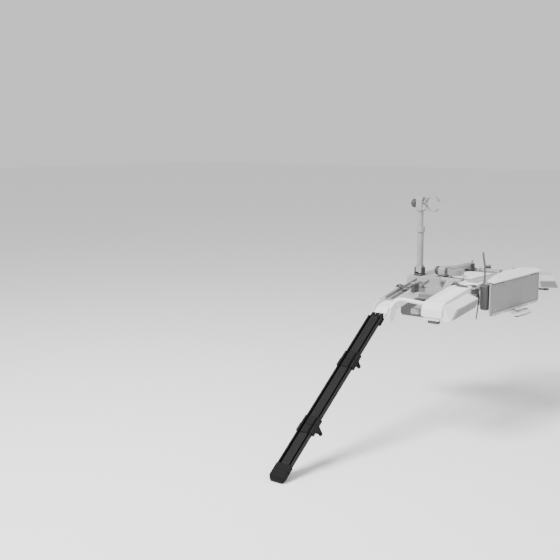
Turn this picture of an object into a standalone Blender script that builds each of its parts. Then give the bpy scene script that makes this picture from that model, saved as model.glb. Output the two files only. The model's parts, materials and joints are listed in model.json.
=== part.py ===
"""Folding two-bike hitch carrier with a folding loading ramp, in metres, +Z up.

The origin is the centre of the tow ball.  +Y points to the car, +X to the car's right.
The carrier hangs on the ball; the ground is GROUND_Z below it.  Each function builds one
sub-part, and pieces that exist on both wings are made once per side (-1 left, +1 right).
"""
import bmesh
import bpy
from math import cos, pi, radians, sin
from mathutils import Matrix, Vector

# ------------------------------------------------------------------ driving dimensions
GAP = 0.0003             # clearance between touching pieces
GROUND_Z = -0.525        # ground below the ball centre

FRONT_TRAY_Y = -0.19     # centre lines of the two wheel trays
REAR_TRAY_Y = -0.4635
FRONT_TRAY_WIDTH = 0.084
REAR_TRAY_WIDTH = 0.103
TRAY_SLOPE = radians(11.0)      # the front trays fall outwards
WING_HINGE_X = 0.205
WING_HINGE_Z = 0.184
TRAY_ROOT_Z = 0.168      # front tray floor at the wing hinge line

TILT_Y, TILT_Z = -0.150, 0.020  # platform tilt axis
PEDAL_PIVOT_Y, PEDAL_PIVOT_Z = -0.474, 0.070

PLATE_Y = -0.570         # number plate face
PLATE_HALF = 0.266
PLATE_LOW, PLATE_HIGH = 0.043, 0.205
LENS_Y = -0.550
RIDGE_Y = -0.515

RAMP_SLOPE = radians(38.0)
RAMP_TOP = Vector((-0.625, FRONT_TRAY_Y, 0.062))
RAMP_JOINTS = (0.280, 0.650)    # distances down the ramp to its two hinges
RAMP_LENGTH = 0.939
RAMP_HALF_WIDTH = 0.0365
RAMP_HALF_HEIGHT = 0.010
RAMP_PINS = (-0.0335, -0.047)   # height of each hinge pin from the ramp's mid plane
ROD_CENTRE = Vector((-0.615, FRONT_TRAY_Y, 0.0622))
ROD_RADIUS = 0.004

COVER_TOP = 0.184        # top of the centre cover
ARM_PIVOT_Z = 0.214      # frame arm pivots
ARM_1 = (-0.138, -0.1245)       # upright, drawn out
ARM_2 = (0.138, -0.255)         # folded flat, pushed in
ARM_STROKE = 0.070

X_AXIS, Y_AXIS, Z_AXIS = Vector((1, 0, 0)), Vector((0, 1, 0)), Vector((0, 0, 1))

# ------------------------------------------------------------------ scene and materials
for old in list(bpy.data.objects):
    bpy.data.objects.remove(old)

PARTS = bpy.data.collections.new("bike_carrier")
CUTTERS = bpy.data.collections.new("cutters")
for collection in (PARTS, CUTTERS):
    bpy.context.scene.collection.children.link(collection)


def material(name, colour, roughness, metallic=0.0):
    made = bpy.data.materials.new(name)
    made.use_nodes = True
    shader = made.node_tree.nodes["Principled BSDF"]
    shader.inputs["Base Color"].default_value = (*colour, 1.0)
    shader.inputs["Roughness"].default_value = roughness
    shader.inputs["Metallic"].default_value = metallic
    return made


PALE = material("pale_plastic", (0.78, 0.78, 0.78), 0.55)
GREY = material("grey_painted_metal", (0.50, 0.50, 0.50), 0.5)
DARK = material("dark_grey_plastic", (0.20, 0.20, 0.20), 0.6)
STEEL = material("steel", (0.55, 0.55, 0.56), 0.35, 0.9)
LENS = material("lens_plastic", (0.62, 0.62, 0.62), 0.25)
BLACK = material("black_ramp_plastic", (0.02, 0.02, 0.021), 0.45)
RUBBER = material("black_rubber", (0.012, 0.012, 0.012), 0.8)


# ------------------------------------------------------------------ building helpers
def add(name, data, finish, collection=PARTS):
    made = bpy.data.objects.new(name, data)
    collection.objects.link(made)
    if finish:
        data.materials.append(finish)
    return made


def mesh_object(name, bm, finish, collection=PARTS):
    mesh = bpy.data.meshes.new(name)
    bm.to_mesh(mesh)
    bm.free()
    return add(name, mesh, finish, collection)


def soften(made, width, segments=1, angle=35.0):
    """Rounds the sharp edges of a piece."""
    weld = made.modifiers.new("weld", "WELD")
    weld.merge_threshold = 0.00001
    bevel = made.modifiers.new("round", "BEVEL")
    bevel.width = width
    bevel.segments = segments
    bevel.limit_method = "ANGLE"
    bevel.angle_limit = radians(angle)
    return made


def box(name, low, high, finish, bevel=0.0, collection=PARTS, segments=1):
    """A block between two corners."""
    low, high = Vector(low), Vector(high)
    bm = bmesh.new()
    bmesh.ops.create_cube(bm, size=1.0)
    size = Matrix.Diagonal((*(high - low), 1.0))
    bmesh.ops.transform(bm, matrix=Matrix.Translation((low + high) / 2) @ size, verts=bm.verts)
    made = mesh_object(name, bm, finish, collection)
    return soften(made, bevel, segments) if bevel else made


def frame(centre, x_axis, y_axis):
    """The matrix whose local X and Y follow two directions."""
    x_axis, y_axis = Vector(x_axis).normalized(), Vector(y_axis).normalized()
    turn = Matrix((x_axis, y_axis, x_axis.cross(y_axis))).transposed().to_4x4()
    return Matrix.Translation(centre) @ turn


def slab(name, outlines, centre, x_axis, y_axis, thickness, finish, bevel=0.0,
         collection=PARTS, segments=1):
    """A flat outline (and its holes) given some thickness about a centre."""
    curve = bpy.data.curves.new(name, "CURVE")
    curve.dimensions = "2D"
    curve.fill_mode = "BOTH"
    curve.extrude = thickness / 2
    if not isinstance(outlines[0][0], (tuple, list)):
        outlines = [outlines]
    for outline in outlines:
        spline = curve.splines.new("POLY")
        spline.points.add(len(outline) - 1)
        for point, (x, y) in zip(spline.points, outline):
            point.co = (x, y, 0.0, 1.0)
        spline.use_cyclic_u = True
    made = add(name, curve, finish, collection)
    made.matrix_world = frame(centre, x_axis, y_axis)
    return soften(made, bevel, segments) if bevel else made


def arc(cx, cy, radius, start, end, steps):
    """Points on an arc, angles in degrees."""
    turns = [radians(start + (end - start) * i / steps) for i in range(steps + 1)]
    return [(cx + radius * cos(t), cy + radius * sin(t)) for t in turns]


def ring(cx, cy, radius, steps=12):
    return arc(cx, cy, radius, 0, 360, steps)[:-1]


def rounded(x0, y0, x1, y1, radius, steps=2):
    """A rectangle with round corners."""
    return (arc(x1 - radius, y1 - radius, radius, 0, 90, steps)
            + arc(x0 + radius, y1 - radius, radius, 90, 180, steps)
            + arc(x0 + radius, y0 + radius, radius, 180, 270, steps)
            + arc(x1 - radius, y0 + radius, radius, 270, 360, steps))


def turned(name, profile, centre, axis, finish, steps=16, collection=PARTS):
    """A solid of revolution: (radius, height) from the top down, about an axis."""
    bm = bmesh.new()
    verts = [bm.verts.new((radius, 0.0, height)) for radius, height in profile]
    for first, second in zip(verts, verts[1:]):
        bm.edges.new((first, second))
    made = mesh_object(name, bm, finish, collection)
    screw = made.modifiers.new("turn", "SCREW")
    screw.steps = screw.render_steps = steps
    screw.use_merge_vertices = True
    screw.merge_threshold = 0.00001
    axis = Vector(axis).normalized()
    side = axis.orthogonal().normalized()
    made.matrix_world = frame(centre, side, axis.cross(side))
    return made


def pin(name, centre, axis, radius, length, finish, steps=16, collection=PARTS):
    half = length / 2
    profile = [(0.0, half), (radius, half), (radius, -half), (0.0, -half)]
    return turned(name, profile, centre, axis, finish, steps, collection)


def smooth_path(points, per_span=4):
    """Points of a smooth curve that passes through the given ones."""
    points = [Vector(p) for p in points]
    ends = [2 * points[0] - points[1]] + points + [2 * points[-1] - points[-2]]
    path = []
    for a, b, c, d in zip(ends, ends[1:], ends[2:], ends[3:]):
        for i in range(per_span):
            t = i / per_span
            path.append(0.5 * (2 * b + (c - a) * t + (2 * a - 5 * b + 4 * c - d) * t * t
                               + (3 * b - a - 3 * c + d) * t ** 3))
    return path + [points[-1]]


def tube(name, points, radius, finish, resolution=2, collection=PARTS):
    curve = bpy.data.curves.new(name, "CURVE")
    curve.dimensions = "3D"
    curve.bevel_depth = radius
    curve.bevel_resolution = resolution
    curve.use_fill_caps = True
    spline = curve.splines.new("POLY")
    spline.points.add(len(points) - 1)
    for point, place in zip(spline.points, points):
        point.co = (*place, 1.0)
    return add(name, curve, finish, collection)


def loft(name, sections, finish, bevel=0.0, collection=PARTS, segments=1):
    """A closed skin over sections that have the same number of points."""
    bm = bmesh.new()
    rows = [[bm.verts.new(point) for point in section] for section in sections]
    count = len(rows[0])
    for near, far in zip(rows, rows[1:]):
        for i in range(count):
            j = (i + 1) % count
            bm.faces.new((near[i], near[j], far[j], far[i]))
    bm.faces.new(rows[0])
    bm.faces.new(rows[-1])
    bmesh.ops.recalc_face_normals(bm, faces=bm.faces)
    made = mesh_object(name, bm, finish, collection)
    return soften(made, bevel, segments) if bevel else made


def as_mesh(made, collection=PARTS):
    """Turns a piece with its modifiers or its curve into a plain mesh in world space."""
    bpy.context.view_layer.update()
    depsgraph = bpy.context.evaluated_depsgraph_get()
    mesh = bpy.data.meshes.new_from_object(made.evaluated_get(depsgraph))
    bm = bmesh.new()
    bm.from_mesh(mesh)
    bmesh.ops.remove_doubles(bm, verts=bm.verts, dist=0.00001)
    bmesh.ops.recalc_face_normals(bm, faces=bm.faces)
    bm.transform(made.matrix_world)
    bm.to_mesh(mesh)
    bm.free()
    name = made.name
    finish = made.data.materials[0]
    bpy.data.objects.remove(made)
    mesh.materials.clear()
    return add(name, mesh, finish, collection)


def combine(made, others, operation):
    """Unites pieces with, or cuts them from, one piece."""
    made = as_mesh(made)
    for other in others:
        other = as_mesh(other, CUTTERS)
        other.hide_render = True
        other.display_type = "WIRE"
        boolean = made.modifiers.new("boolean", "BOOLEAN")
        boolean.operation = operation
        boolean.object = other
    return made


def join(made, *others):
    return combine(made, others, "UNION")


def cut(made, *others):
    return combine(made, others, "DIFFERENCE")


def side_name(side):
    return "left" if side < 0 else "right"


# ------------------------------------------------------------------ tow ball coupling
def coupling():
    """Housing that drops over the tow ball, with two cheeks for the tilt pin behind it."""
    housing = box("coupling_housing", (-0.046, -0.100, -0.052), (0.046, 0.044, 0.034), DARK, 0.010)
    cheeks = [box("cheek", (x, -0.172, -0.030), (x + 0.012, -0.090, 0.040), DARK, 0.004)
              for x in (-0.046, 0.034)]
    socket = turned("socket", [(0.0, 0.016), (0.020, 0.016), (0.029, 0.006), (0.029, -0.070),
                               (0.0, -0.070)], (0, 0, 0), Z_AXIS, DARK, 20)
    holes = pin("hole", (0, TILT_Y, TILT_Z), X_AXIS, 0.0083, 0.12, DARK)
    bolt = [(0.0, 0.0245), (0.0075, 0.0245), (0.0075, 0.0200), (0.0042, 0.0200), (0.0042, -0.004),
            (0.0, -0.004)]
    bolt = turned("bolt", bolt, (0.046, 0.0, 0.010), X_AXIS, DARK, 12)
    cut(join(housing, bolt, *cheeks), socket, holes)
    liner = [(0.0255, 0.005), (0.0287, 0.005), (0.0287, -0.034), (0.0255, -0.034), (0.0255, 0.005)]
    turned("ball_socket_liner", liner, (0, 0, 0), Z_AXIS, STEEL, 20)
    pin("tilt_pin", (0, TILT_Y, TILT_Z), X_AXIS, 0.0080, 0.096, STEEL)
    lever = slab("clamp_lever", [(0.0, -0.010), (0.022, -0.010), (0.078, 0.002), (0.086, 0.009),
                                 (0.078, 0.014), (0.026, 0.010), (0.0, 0.010), (-0.010, 0.0)],
                 (0.058, 0.000, 0.010), -Y_AXIS, Z_AXIS, 0.016, GREY, 0.003)
    cut(lever, pin("hole", (0.058, 0.0, 0.010), X_AXIS, 0.0045, 0.05, STEEL, 12))


# ------------------------------------------------------------------ platform
def platform():
    """Welded frame on the tilt pin, its cover, the wing hinge lugs and the arm bases."""
    rails = [box("rail", (x, -0.512, 0.062), (x + 0.030, -0.100, 0.092), GREY, 0.004)
             for x in (-0.115, 0.085)]
    beams = [box("beam", (-0.100, y, 0.064), (0.100, y + 0.030, 0.090), GREY, 0.003)
             for y in (-0.165, -0.330, -0.440)]
    tongue = box("tongue", (-0.033, -0.166, 0.004), (0.033, -0.134, 0.080), GREY, 0.005)
    lugs = []
    for side in (-1, 1):
        for y in (-0.283, -0.395):
            outline = [(0.100, 0.066), (0.130, 0.066), (0.216, 0.170), (0.216, 0.197),
                       (0.190, 0.197), (0.100, 0.090)]
            outline = [(side * x, z) for x, z in outline]
            lugs.append(slab("lug", outline, (0, y, 0), X_AXIS, Z_AXIS, 0.010, GREY))
    frame_piece = join(rails[0], rails[1], *beams, tongue, *lugs)
    holes = [pin("hole", (0, TILT_Y, TILT_Z), X_AXIS, 0.0083, 0.12, STEEL)]
    for side in (-1, 1):
        holes.append(pin("hole", (side * WING_HINGE_X, -0.339, WING_HINGE_Z), Y_AXIS, 0.0063,
                         0.150, STEEL))
    cut(frame_piece, *holes).name = "platform_frame"

    outline = [(-0.060, 0.092), (-0.060, COVER_TOP - 0.012), (-0.080, COVER_TOP), (-0.500, COVER_TOP),
               (-0.512, COVER_TOP - 0.012), (-0.512, 0.094)]
    shell = slab("centre_cover", outline, (0, 0, 0), Y_AXIS, Z_AXIS, 0.320, GREY, 0.012, segments=2)
    hollow = box("hollow", (-0.152, -0.500, 0.060), (0.152, -0.070, COVER_TOP - 0.010), GREY)
    slots = [box("slot", (side * 0.150, -0.402, 0.080), (side * 0.200, -0.276, 0.210), GREY)
             for side in (-1, 1)]
    cut(shell, hollow, *slots)
    outline = rounded(-0.100, -0.108, 0.100, 0.108, 0.020)
    slab("centre_top_pad", outline, (0, -0.300, COVER_TOP + GAP + 0.0025), -Y_AXIS, X_AXIS, 0.005,
         PALE, 0.0015)
    for side in (-1, 1):
        name = side_name(side)
        pin(name + "_wing_hinge_pin", (side * WING_HINGE_X, -0.339, WING_HINGE_Z), Y_AXIS, 0.0060,
            0.136, STEEL)


def number_plate():
    """Plate holder with its raised rim, hood, bracket and lamps."""
    middle = (PLATE_LOW + PLATE_HIGH) / 2
    half_height = (PLATE_HIGH - PLATE_LOW) / 2
    outline = rounded(-PLATE_HALF, -half_height, PLATE_HALF, half_height, 0.022, 3)
    face = slab("plate_holder", outline, (0, PLATE_Y - 0.004, middle), X_AXIS, Z_AXIS, 0.008, GREY)
    well = rounded(-PLATE_HALF + 0.006, -half_height + 0.010, PLATE_HALF - 0.006, half_height - 0.004,
                   0.018, 3)
    cut(face, slab("well", well, (0, PLATE_Y - 0.008, middle), X_AXIS, Z_AXIS, 0.004, GREY))
    hood = []
    for x, rear, rise in ((-PLATE_HALF, -0.566, 0.008), (-0.200, -0.556, 0.017),
                          (-0.120, -0.548, 0.026), (0.0, -0.544, 0.030), (0.120, -0.548, 0.026),
                          (0.200, -0.556, 0.017), (PLATE_HALF, -0.566, 0.008)):
        hood.append([(x, -0.590, PLATE_HIGH - 0.006), (x, -0.590, PLATE_HIGH - 0.001),
                     (x, rear, PLATE_HIGH + rise), (x, rear + 0.010, PLATE_HIGH + rise - 0.004),
                     (x, rear + 0.010, PLATE_HIGH + 0.003), (x, -0.562, PLATE_HIGH + 0.0004),
                     (x, -0.5805, PLATE_HIGH + 0.0004)])
    loft("plate_hood", hood, PALE, 0.002)
    bracket = box("rear_bracket", (-0.110, -0.5697, 0.060), (0.110, -0.5125, 0.190), DARK, 0.006)
    latches = [box("latch", (min(a, b), -0.560, 0.070), (max(a, b), -0.520, 0.186), DARK, 0.006)
               for a, b in ((-0.262, -0.212), (0.212, 0.262))]
    join(bracket, box("bridge", (-0.230, -0.556, 0.072), (0.230, -0.526, 0.100), DARK), *latches)
    lamps = [box("plate_lamps", (x - 0.020, -0.5895, PLATE_HIGH - 0.012),
                 (x + 0.020, -0.5785, PLATE_HIGH - 0.0068), LENS) for x in (-0.12, 0.12)]
    duct = box("wire_duct", (-0.110, -0.588, PLATE_HIGH - 0.010),
               (0.110, -0.582, PLATE_HIGH - 0.0068), LENS)
    join(*lamps, duct)


def foot_pedal():
    """Tilt release pedal on a cranked arm below the number plate."""
    sections = []
    middle = -0.612
    for x, grow in ((-0.084, 0.35), (-0.066, 0.85), (0.0, 1.0), (0.066, 0.85), (0.084, 0.35)):
        depth, height = 0.026 * grow, 0.011 * grow
        sections.append([(x, middle - depth, 0.030), (x, middle - 0.6 * depth, 0.030 + height),
                         (x, middle + 0.6 * depth, 0.034 + height), (x, middle + depth, 0.034),
                         (x, middle + 0.6 * depth, 0.032 - height),
                         (x, middle - 0.6 * depth, 0.030 - height)])
    tread = loft("foot_pedal", sections, PALE, 0.002)
    outline = [(-0.600, 0.024), (-0.600, 0.038), (-0.562, 0.040), (-0.520, 0.054), (-0.492, 0.078),
               (-0.474, 0.083), (-0.461, 0.070), (-0.474, 0.057), (-0.490, 0.052), (-0.512, 0.036),
               (-0.560, 0.024)]
    arm = slab("arm", outline, (0, 0, 0), Y_AXIS, Z_AXIS, 0.030, GREY)
    pivot = (0, PEDAL_PIVOT_Y, PEDAL_PIVOT_Z)
    cut(join(tread, arm), pin("hole", pivot, X_AXIS, 0.0053, 0.10, STEEL, 12))
    pin("pedal_pivot", pivot, X_AXIS, 0.005, 0.1692, STEEL, 12)


# ------------------------------------------------------------------ wings
def tray_frame(side, along, y, height=0.0):
    """Frame of a sloped front tray: local X across it, local Y up from its floor."""
    out = Vector((side * cos(TRAY_SLOPE), 0.0, -sin(TRAY_SLOPE)))
    up = Vector((side * sin(TRAY_SLOPE), 0.0, cos(TRAY_SLOPE)))
    root = Vector((side * WING_HINGE_X, y, TRAY_ROOT_Z))
    return root + along * out + height * up, Y_AXIS, up


def channel_outline(half, low, high, wall):
    """A U with small outward beads on its rims, drawn across the tray."""
    outer = [(half - 0.006, low), (half, low + 0.005), (half, high - 0.004),
             (half + 0.0015, high - 0.003), (half + 0.0015, high)]
    inner = [(half - wall, high), (half - wall, low + wall + 0.004), (half - wall - 0.006, low + wall)]
    right = outer + inner
    left = [(-x, h) for x, h in reversed(right)]
    return right + left


def rear_tray_top(x):
    """Height of the rear tray's rims at a distance from the centre plane."""
    inner, knee, end = (0.205, 0.1950), (0.380, 0.1815), (0.600, 0.1440)
    (x0, z0), (x1, z1) = (inner, knee) if x < knee[0] else (knee, end)
    return z0 + (z1 - z0) * (x - x0) / (x1 - x0)


def rear_tray(side):
    """Broad shallow tray with rolled edges and a closed outboard end."""
    front, rear = REAR_TRAY_Y + REAR_TRAY_WIDTH / 2, REAR_TRAY_Y - REAR_TRAY_WIDTH / 2
    sections = []
    for x, drop in ((0.216, 0.0), (0.380, 0.0), (0.520, 0.0), (0.575, 0.002), (0.600, 0.012),
                    (0.608, 0.030)):
        top = rear_tray_top(x) - drop
        low = rear_tray_top(x) - 0.026 - 0.16 * max(0.0, x - 0.38)
        groove = 0.007 if x < 0.57 else 0.0005
        sections.append([(side * x, front, low), (side * x, front, top - 0.004),
                         (side * x, front - 0.004, top), (side * x, front - 0.014, top),
                         (side * x, front - 0.026, top - groove), (side * x, rear + 0.026, top - groove),
                         (side * x, rear + 0.014, top), (side * x, rear + 0.001, top),
                         (side * x, rear, top - 0.003), (side * x, rear, low)])
    return loft(side_name(side) + "_rear_tray", sections, PALE)


def light_unit(side):
    """Rear light: sloped top strip, raked inboard end, facet round the outboard corner."""
    front = RIDGE_Y - GAP
    inboard = [(0.374, front, 0.1670), (0.330, LENS_Y, 0.139), (0.352, LENS_Y, 0.099),
               (0.392, front, 0.096)]
    outboard = [(0.596, front, 0.1370), (0.540, LENS_Y, 0.115), (0.590, LENS_Y, 0.068),
                (0.604, front, 0.064)]
    sections = [[(side * x, y, z) for x, y, z in row] for row in (inboard, outboard)]
    loft(side_name(side) + "_light_housing", sections, PALE, 0.003)
    outline = [(0.347, 0.1325), (0.528, 0.1105), (0.570, 0.0740), (0.366, 0.1020)]
    outline = [(side * x, z) for x, z in outline]
    slab(side_name(side) + "_light_lens", outline, (0, LENS_Y - 0.0018, 0), X_AXIS, Z_AXIS, 0.003, LENS)


def wing(side):
    """Everything that folds up on one wing hinge, except the sliding tray end."""
    name = side_name(side)
    hub = pin("hub", (side * WING_HINGE_X, -0.339, WING_HINGE_Z), Y_AXIS, 0.013, 0.100, GREY)
    spine = []
    for x, top, low in ((0.207, 0.197, 0.160), (0.260, 0.150, 0.118), (0.400, 0.118, 0.090),
                        (0.545, 0.094, 0.070)):
        spine.append([(side * x, -0.319, low), (side * x, -0.359, low),
                      (side * x, -0.359, top), (side * x, -0.319, top)])
    spine = loft("spine", spine, GREY, 0.003)
    bars = []
    for x0, x1, low, front, rear in ((0.232, 0.262, 0.120, -0.160, -0.500),
                                     (0.500, 0.530, 0.072, -0.330, -0.500)):
        a, b = sorted((side * x0, side * x1))
        bars.append(box("bar", (a, rear, low), (b, front, low + 0.024), GREY, 0.003))
    posts = []
    for x, y, low, top in ((0.247, FRONT_TRAY_Y, 0.130, 0.1535), (0.247, -0.470, 0.130, 0.156),
                           (0.515, -0.470, 0.085, 0.1055)):
        posts.append(box("post", (side * x - 0.012, y - 0.020, low), (side * x + 0.012, y + 0.020, top),
                         GREY))
    wing_frame = join(hub, spine, *bars, *posts)
    bore = pin("bore", (side * WING_HINGE_X, -0.339, WING_HINGE_Z), Y_AXIS, 0.0063, 0.150, STEEL)
    cut(wing_frame, bore).name = name + "_wing_frame"

    centre, across, up = tray_frame(side, 0.152, FRONT_TRAY_Y)
    slab(name + "_front_tray", channel_outline(0.0357, -0.003, 0.017, 0.0025), centre, across, up,
         0.284, GREY)
    rear_tray(side)
    light_unit(side)
    route = [(0.560, -0.4116, 0.129), (0.560, -0.380, 0.129), (0.560, -0.300, 0.135),
             (0.563, -0.268, 0.132), (0.580, -0.250, 0.116), (0.596, -0.2465, 0.090),
             (0.600, -0.2465, 0.052)]
    route = [(side * x, y, z) for x, y, z in smooth_path(route, 3)]
    handle = tube(name + "_wing_handle", route, 0.0090, PALE, 3)
    foot = [(0.570, 0.118), (0.612, 0.098), (0.624, 0.060), (0.612, 0.034), (0.584, 0.034),
            (0.566, 0.070)]
    foot = [(side * x, z) for x, z in foot]
    join(handle, slab("foot", foot, (0, -0.2530, 0), X_AXIS, Z_AXIS, 0.006, PALE, 0.002))


def tray_slider(side):
    """Telescoping end of a front tray, with a cup that leads down to the ramp bar."""
    name = side_name(side)
    centre, across, up = tray_frame(side, 0.242, FRONT_TRAY_Y)
    half = FRONT_TRAY_WIDTH / 2 - 0.0015
    inner, top, skirt, over, under = half - 0.003, 0.0240, -0.0300, -0.0033, -0.0063
    outline = [(-half, skirt), (-inner, skirt), (-inner, under), (inner, under), (inner, skirt),
               (half, skirt), (half, top), (inner, top), (inner, over), (-inner, over), (-inner, top),
               (-half, top)]
    straight = slab(name + "_tray_slider", outline, centre, across, up, 0.230, PALE)
    sections = []
    for x, floor, wall in ((0.5450, 0.0960, 0.0240), (0.5560, 0.0930, 0.0240), (0.5760, 0.0800, 0.0250),
                           (0.5920, 0.0690, 0.0220), (0.5985, 0.0650, 0.0180)):
        y0, y1 = FRONT_TRAY_Y - half, FRONT_TRAY_Y + half
        sections.append([(side * x, y0, floor - 0.003), (side * x, y0, floor + wall),
                         (side * x, y0 + 0.003, floor + wall), (side * x, y0 + 0.003, floor + 0.004),
                         (side * x, y0 + 0.009, floor), (side * x, y1 - 0.009, floor),
                         (side * x, y1 - 0.003, floor + 0.004), (side * x, y1 - 0.003, floor + wall),
                         (side * x, y1, floor + wall), (side * x, y1, floor - 0.003)])
    cup = loft("cup", sections, PALE)
    ear = [(0.590, 0.064), (0.594, 0.071), (0.618, 0.069), (0.6225, 0.062), (0.616, 0.055),
           (0.606, 0.057)]
    ear = [(side * x, z) for x, z in ear]
    ears = [slab("ear", ear, (0, FRONT_TRAY_Y + y, 0), X_AXIS, Z_AXIS, 0.005, PALE)
            for y in (-0.036, 0.036)]
    slider = join(straight, cup, *ears)
    rod = Vector((side * -ROD_CENTRE.x, ROD_CENTRE.y, ROD_CENTRE.z))
    cut(slider, pin("hole", rod, Y_AXIS, ROD_RADIUS + GAP, 0.12, STEEL, 12))
    pin(name + "_ramp_bar", rod, Y_AXIS, ROD_RADIUS, 0.080, STEEL, 12)


# ------------------------------------------------------------------ wheel straps
def wheel_strap(name, side, x, edge, low, high):
    """Buckle block on the outer wall of a tray and the ratchet lever on top of it."""
    rear, front = edge - 0.018, edge - GAP
    box(name + "_buckle", (side * x - 0.022, rear, low), (side * x + 0.022, front, high), DARK, 0.003)
    outline = [(-0.026, -0.003), (0.018, -0.003), (0.034, 0.004), (0.033, 0.009), (0.014, 0.005),
               (-0.026, 0.005)]
    slab(name + "_buckle_lever", outline, (side * x, (rear + front) / 2, high + 0.0038),
         -side * X_AXIS, Z_AXIS, 0.015, GREY, 0.001)


# ------------------------------------------------------------------ frame arms
def frame_arm(name, place, up, side_way, drawn):
    """Fold-down arm: base, hollow post, sliding tube, clamp head, moving jaw and knob."""
    x, y = place
    pivot = Vector((x, y, ARM_PIVOT_Z))

    def at(across, along, depth=0.0):
        return pivot + across * side_way + along * up + depth * Y_AXIS

    base_low = COVER_TOP + GAP
    ears = [box("ear", (x - 0.018, y + depth - 0.003, base_low),
                (x + 0.018, y + depth + 0.003, ARM_PIVOT_Z + 0.012), DARK, 0.003)
            for depth in (-0.0195, 0.0195)]
    foot = box(name + "_base", (x - 0.022, y - 0.0225, base_low),
               (x + 0.022, y + 0.0225, base_low + 0.008), DARK, 0.002)
    join(foot, *ears, pin("pin", pivot, Y_AXIS, 0.0050, 0.048, STEEL, 12))

    outline = [(-0.013, -0.013), (0.013, -0.013), (0.013, 0.0220), (-0.013, 0.0220)]
    knuckle = slab("knuckle", outline, pivot, side_way, up, 0.032, GREY)
    post = slab(name + "_post", [ring(0, 0, 0.016, 16), ring(0, 0, 0.0125, 16)], at(0, 0.118), side_way,
                up.cross(side_way), 0.196, GREY)
    collar = [(0.0140, 0.014), (0.0215, 0.012), (0.0215, -0.012), (0.0140, -0.014), (0.0140, 0.014)]
    collar = turned("collar", collar, at(0, 0.200), up, DARK, 16)
    cut(join(post, knuckle, collar), pin("hole", pivot, Y_AXIS, 0.0053, 0.08, STEEL, 12))

    inner = pin("inner_tube", at(0, 0.1975 + drawn), up, 0.0122, 0.205, STEEL)
    outline = [(-0.020, 0.0), (0.020, 0.0), (0.022, 0.012), (0.022, 0.060), (0.014, 0.070),
               (-0.014, 0.070), (-0.022, 0.060), (-0.022, 0.012)]
    head = slab(name + "_clamp_head", outline, at(0, 0.2903 + drawn, 0.002), side_way, up, 0.036,
                GREY, 0.004)
    lower_jaw = arc(0, 0, 0.041, 188, 318, 6) + arc(0, 0, 0.033, 318, 188, 6)
    jaw_centre = at(0, 0.328 + drawn, -0.062)
    fixed = slab("jaw", lower_jaw, jaw_centre, -Y_AXIS, up, 0.030, GREY)
    link = [(-0.046, -0.030), (-0.034, -0.030), (-0.034, -0.004), (-0.046, -0.004)]
    join(head, fixed, slab("link", link, jaw_centre, -Y_AXIS, up, 0.030, GREY), inner)
    upper_jaw = arc(0, 0, 0.041, 172, 20, 7) + arc(0, 0, 0.033, 20, 172, 7)
    slab(name + "_clamp_jaw", upper_jaw, jaw_centre, -Y_AXIS, up, 0.028, GREY, 0.001)
    knob = [(0.0, 0.030), (0.014, 0.030), (0.020, 0.024), (0.020, 0.006), (0.012, 0.0003), (0.0, 0.0003)]
    turned(name + "_clamp_knob", knob, at(0, 0.328 + drawn, 0.020), Y_AXIS, DARK, 14)


# ------------------------------------------------------------------ loading ramp
DOWN = Vector((-cos(RAMP_SLOPE), 0.0, -sin(RAMP_SLOPE)))
OUT = Vector((-sin(RAMP_SLOPE), 0.0, cos(RAMP_SLOPE)))


def on_ramp(along, height=0.0, across=0.0):
    """A place on the ramp: along it from the top, above its mid plane, and sideways."""
    return RAMP_TOP + along * DOWN + height * OUT + across * Y_AXIS


def ramp_channel_outline():
    """Floor with two side walls and two low inner ribs, drawn across the ramp."""
    half, low, high = RAMP_HALF_WIDTH, -RAMP_HALF_HEIGHT, RAMP_HALF_HEIGHT
    right = [(half, low), (half, high), (half - 0.004, high), (half - 0.005, low + 0.006),
             (half - 0.012, low + 0.006), (half - 0.0125, low + 0.009), (half - 0.0165, low + 0.009),
             (half - 0.017, low + 0.006)]
    left = [(-x, h) for x, h in reversed(right)]
    return right + left


def ramp_section(name, start, end):
    middle = on_ramp((start + end) / 2)
    return slab(name, ramp_channel_outline(), middle, Y_AXIS, OUT, end - start - 2 * GAP, BLACK)


def ramp_sleeve(name, joint, direction, pin_height, inner):
    """Collar under and beside one ramp end, whose two cheeks reach down to the hinge pin."""
    thick, reach, eye = 0.0022, 0.0420, 0.0100
    half = RAMP_HALF_WIDTH + GAP + (0.0 if inner else thick + GAP)
    start = 0 if direction > 0 else 180
    ear = arc(0, pin_height, eye, start, start - direction * 180, 6)
    outer_end = [(direction * reach, 0.009), (direction * reach, -0.0138), (direction * 0.016, -0.0150)]
    inner_end = [(direction * -eye, -0.022), (0.0, -0.0150), (direction * 0.0008, -0.0142),
                 (direction * 0.0008, 0.009)]
    cheek = outer_end + ear + inner_end
    cheeks = []
    for across in (-1, 1):
        centre = on_ramp(joint, 0.0, across * (half + thick / 2))
        outlines = [cheek, ring(0, pin_height, 0.0043, 10)]
        cheeks.append(slab(name, outlines, centre, DOWN, OUT, thick, RUBBER))
    low, high = -0.0133, -RAMP_HALF_HEIGHT - GAP
    near, far = direction * 0.0014, direction * (reach - 0.002)
    floor = slab("floor", [(near, low), (far, low), (far, high), (near, high)],
                 on_ramp(joint), DOWN, OUT, 2 * half + thick, RUBBER)
    return join(cheeks[0], cheeks[1], floor)


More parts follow.
